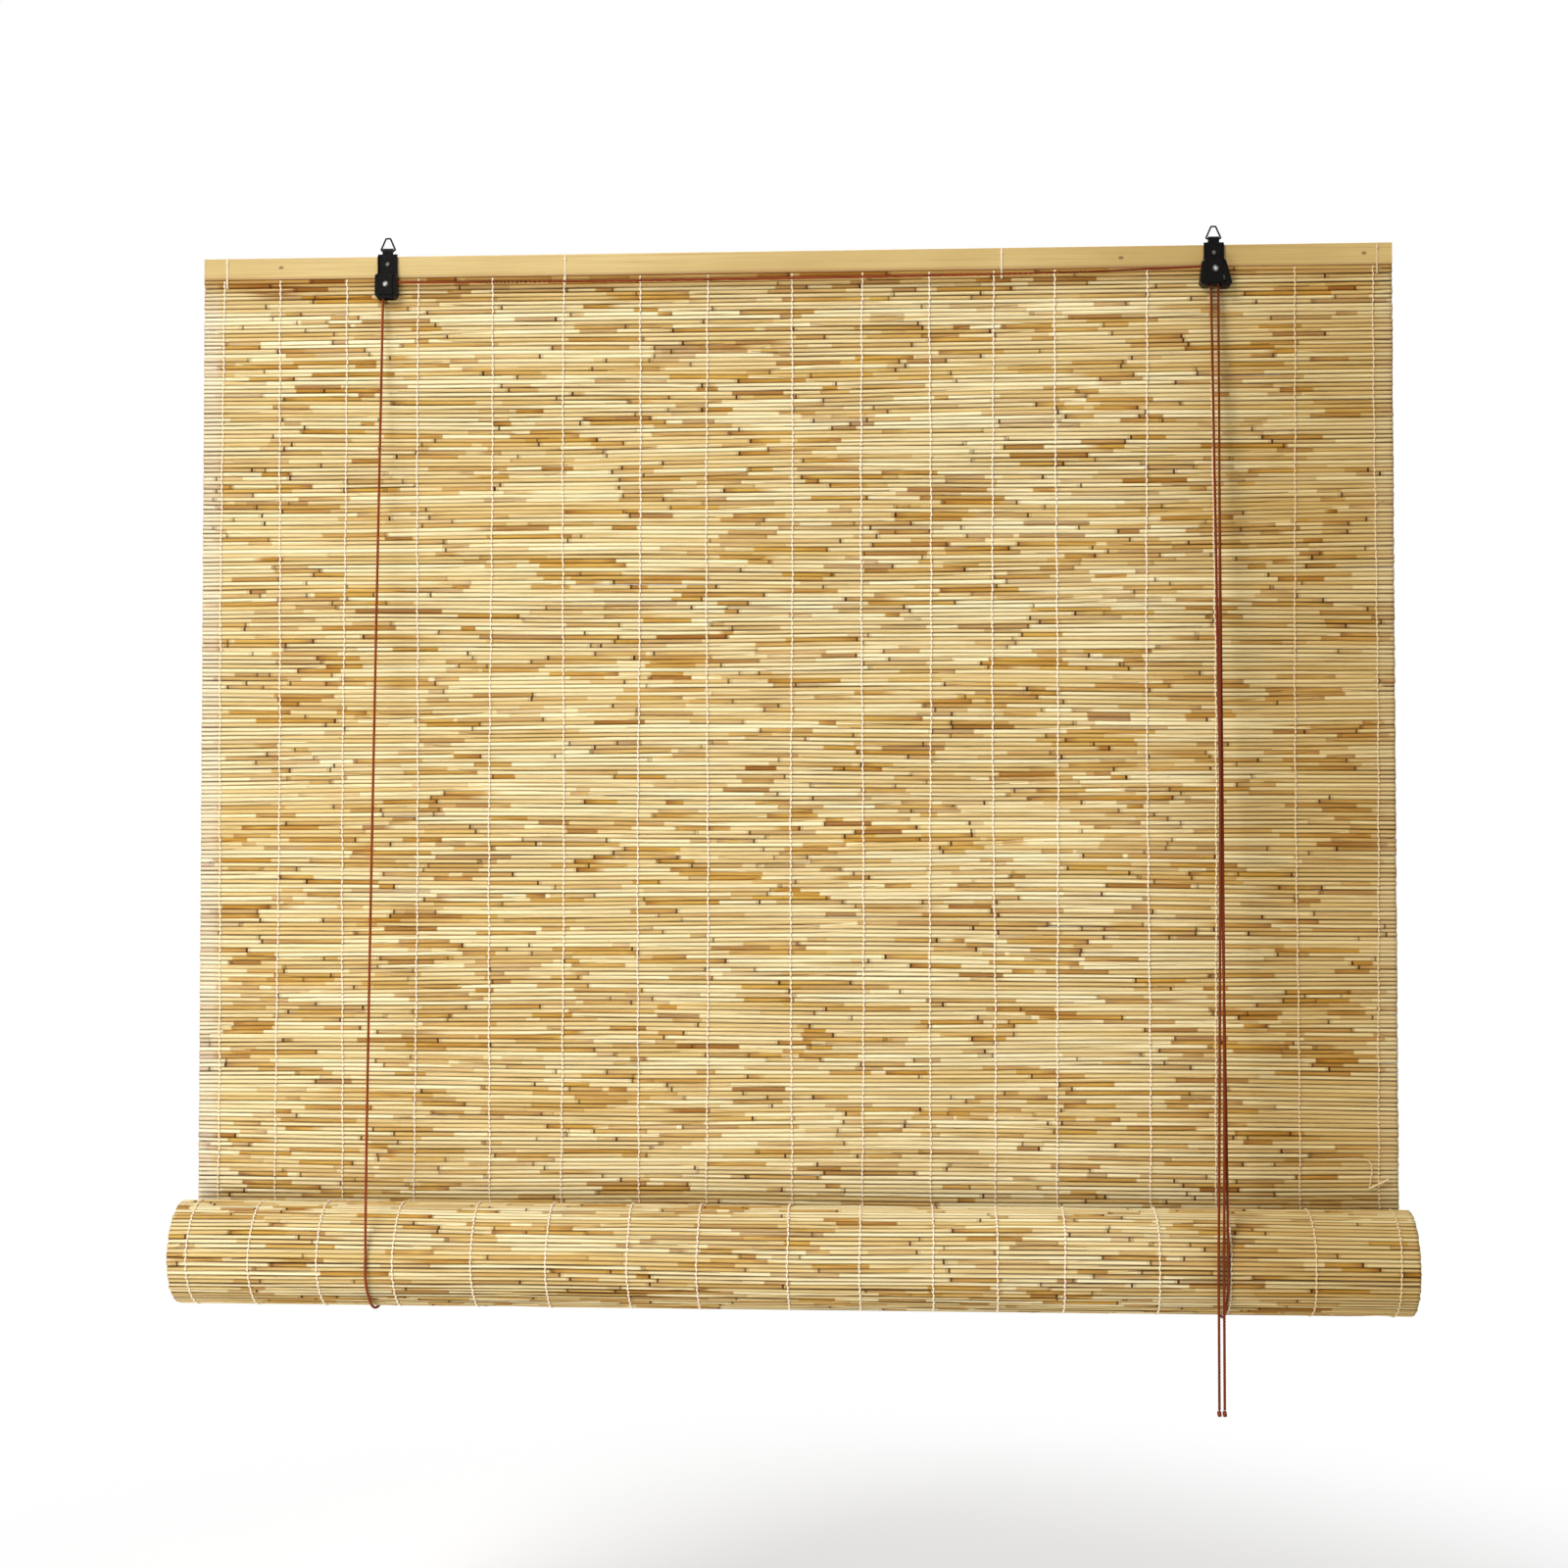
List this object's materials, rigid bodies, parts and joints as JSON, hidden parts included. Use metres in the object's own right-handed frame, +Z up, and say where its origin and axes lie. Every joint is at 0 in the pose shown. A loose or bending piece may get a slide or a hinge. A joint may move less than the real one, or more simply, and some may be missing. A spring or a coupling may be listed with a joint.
{
  "type": "bamboo roll-up blind",
  "caption": "Wide mat of thin bamboo reeds hung from a flat headrail, with its lower part rolled up and held by two lift cords from a pulley and a cord lock.",
  "frame": {"origin": "centre of the headrail's back face, which lies against the wall", "axes": "+Z up, +Y into the wall, +X to the right of someone facing the blind"},
  "size_m": [1.2, 0.113, 1.1575],
  "materials": {
    "headrail_bamboo": "planed bamboo",
    "reeds": "split bamboo reeds, pale with golden streaks",
    "thread": "twisted cotton thread",
    "cord": "braided reddish brown cord",
    "black_steel": "gloss black paint",
    "bright_steel": "bright zinc",
    "wheel_plastic": "moulded nylon"
  },
  "bodies": {
    "headrail_assembly": {"headrail": "headrail_bamboo", "mat_panel": "reeds", "headrail_tie_1": "thread", "headrail_tie_2": "thread", "headrail_tie_3": "thread", "headrail_tie_4": "thread", "left_bracket": "black_steel", "right_bracket": "black_steel", "left_screw": "black_steel", "right_screw": "black_steel", "pulley_housing": "black_steel", "pulley_axle": "bright_steel", "lock_housing": "black_steel", "lock_axle": "bright_steel", "left_cord_anchor": "cord", "right_cord_anchor": "cord", "left_cord_back": "cord", "right_cord_back": "cord", "left_cord_front": "cord", "right_cord_front": "cord", "transfer_cord": "cord", "lock_cord": "cord", "pull_cord_a_upper": "cord", "pull_cord_b_upper": "cord"},
    "left_hanging_ring": {"left_ring": "black_steel"},
    "right_hanging_ring": {"right_ring": "black_steel"},
    "pulley_wheel": {"pulley_wheel": "wheel_plastic"},
    "lock_wheel": {"lock_wheel": "wheel_plastic"},
    "lock_roller": {"lock_roller": "bright_steel"},
    "cord_slings": {"left_cord_sling": "cord", "right_cord_sling": "cord", "pull_cord_a_lower": "cord", "pull_cord_b_lower": "cord"},
    "mat_roll": {"mat_roll": "reeds", "bottom_rail": "headrail_bamboo"},
    "pull_knots": {"pull_cord_a_knot": "cord", "pull_cord_b_knot": "cord"}
  },
  "joints": [
    {"name": "roll_lift", "type": "slide", "parent": "headrail_assembly", "child": "cord_slings", "axis": [0, 0, 1], "range_m": [0, 0.8], "deforming": ["mat_panel", "left_cord_back", "right_cord_back", "left_cord_front", "right_cord_front", "pull_cord_a_upper", "pull_cord_b_upper"]},
    {"name": "roll_turn", "type": "hinge", "parent": "cord_slings", "child": "mat_roll", "pos_m": [0, -0.0572, -0.9896], "axis": [-1, 0, 0], "range_deg": [0, 805]},
    {"name": "cord_pull", "type": "slide", "parent": "cord_slings", "child": "pull_knots", "axis": [0, 0, -1], "range_m": [0, 2.4], "deforming": ["pull_cord_a_lower", "pull_cord_b_lower"]},
    {"name": "pulley_spin", "type": "hinge", "parent": "headrail_assembly", "child": "pulley_wheel", "pos_m": [-0.41, -0.015, -0.02], "axis": [0, 1, 0], "continuous": true},
    {"name": "lock_wheel_spin", "type": "hinge", "parent": "headrail_assembly", "child": "lock_wheel", "pos_m": [0.424, -0.0165, -0.0163], "axis": [0, 1, 0], "continuous": true},
    {"name": "lock_release", "type": "slide", "parent": "headrail_assembly", "child": "lock_roller", "axis": [0.2456, 0, -0.9694], "range_m": [0, 0.0045]},
    {"name": "left_ring_swing", "type": "hinge", "parent": "headrail_assembly", "child": "left_hanging_ring", "pos_m": [-0.41, -0.0089, 0.0172], "axis": [1, 0, 0], "range_deg": [-35, 120]},
    {"name": "right_ring_swing", "type": "hinge", "parent": "headrail_assembly", "child": "right_hanging_ring", "pos_m": [0.424, -0.0089, 0.0172], "axis": [1, 0, 0], "range_deg": [-35, 120]}
  ],
  "couplings": [
    {"joint": "roll_turn", "follows": "roll_lift", "rad_per_m": 17.452},
    {"joint": "cord_pull", "follows": "roll_lift", "ratio": 3},
    {"joint": "pulley_spin", "follows": "roll_lift", "rad_per_m": 571.43},
    {"joint": "lock_wheel_spin", "follows": "roll_lift", "rad_per_m": 571.43}
  ]
}
